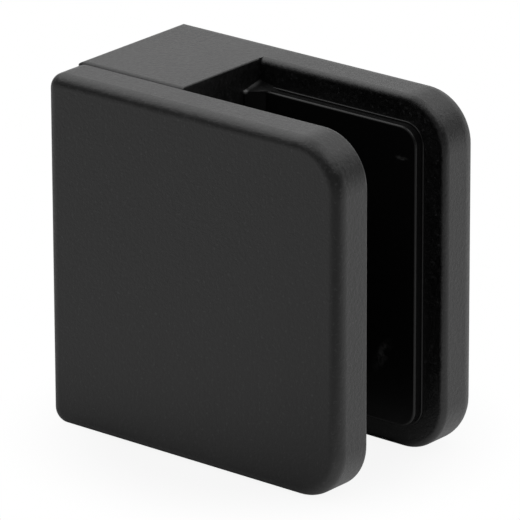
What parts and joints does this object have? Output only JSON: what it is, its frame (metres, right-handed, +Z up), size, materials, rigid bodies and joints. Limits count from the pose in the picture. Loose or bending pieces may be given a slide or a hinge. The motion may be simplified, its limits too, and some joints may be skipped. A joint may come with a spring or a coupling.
{
  "type": "glass panel clamp",
  "caption": "Square two-jaw clamp that bolts to a post and grips the edge of a glass infill panel between rubber pads; a front cover is drawn up by countersunk screws from behind.",
  "frame": {"origin": "centre of the fixing bore's mouth on the flat post face, at mid-height and in the middle of the slot's width", "axes": "+X from the post face into the glass slot, +Y from the front cover to the back, +Z up"},
  "size_m": [0.045, 0.0268, 0.045],
  "materials": {
    "casting": "satin black powder coat on die-cast zinc",
    "rubber": "matt black moulded EPDM rubber",
    "screws": "black-finished steel"
  },
  "bodies": {
    "casting": {"body": "casting", "rear_gasket": "rubber"},
    "cover": {"front_cover": "casting", "front_gasket": "rubber"},
    "upper_screw": {"clamp_screw_upper": "screws"},
    "lower_screw": {"clamp_screw_lower": "screws"}
  },
  "joints": [
    {"name": "cover_slide", "type": "slide", "parent": "casting", "child": "cover", "axis": [0, -1, 0], "range_m": [0, 0.0045]},
    {"name": "upper_screw_turn", "type": "hinge", "parent": "casting", "child": "upper_screw", "pos_m": [0.0083, 0, 0.013], "axis": [0, 1, 0], "range_deg": [0, 1620]},
    {"name": "lower_screw_turn", "type": "hinge", "parent": "casting", "child": "lower_screw", "pos_m": [0.0083, 0, -0.013], "axis": [0, 1, 0], "range_deg": [0, 1620]}
  ],
  "couplings": [
    {"joint": "upper_screw_turn", "follows": "cover_slide", "rad_per_m": 6283.2},
    {"joint": "lower_screw_turn", "follows": "cover_slide", "rad_per_m": 6283.2}
  ]
}
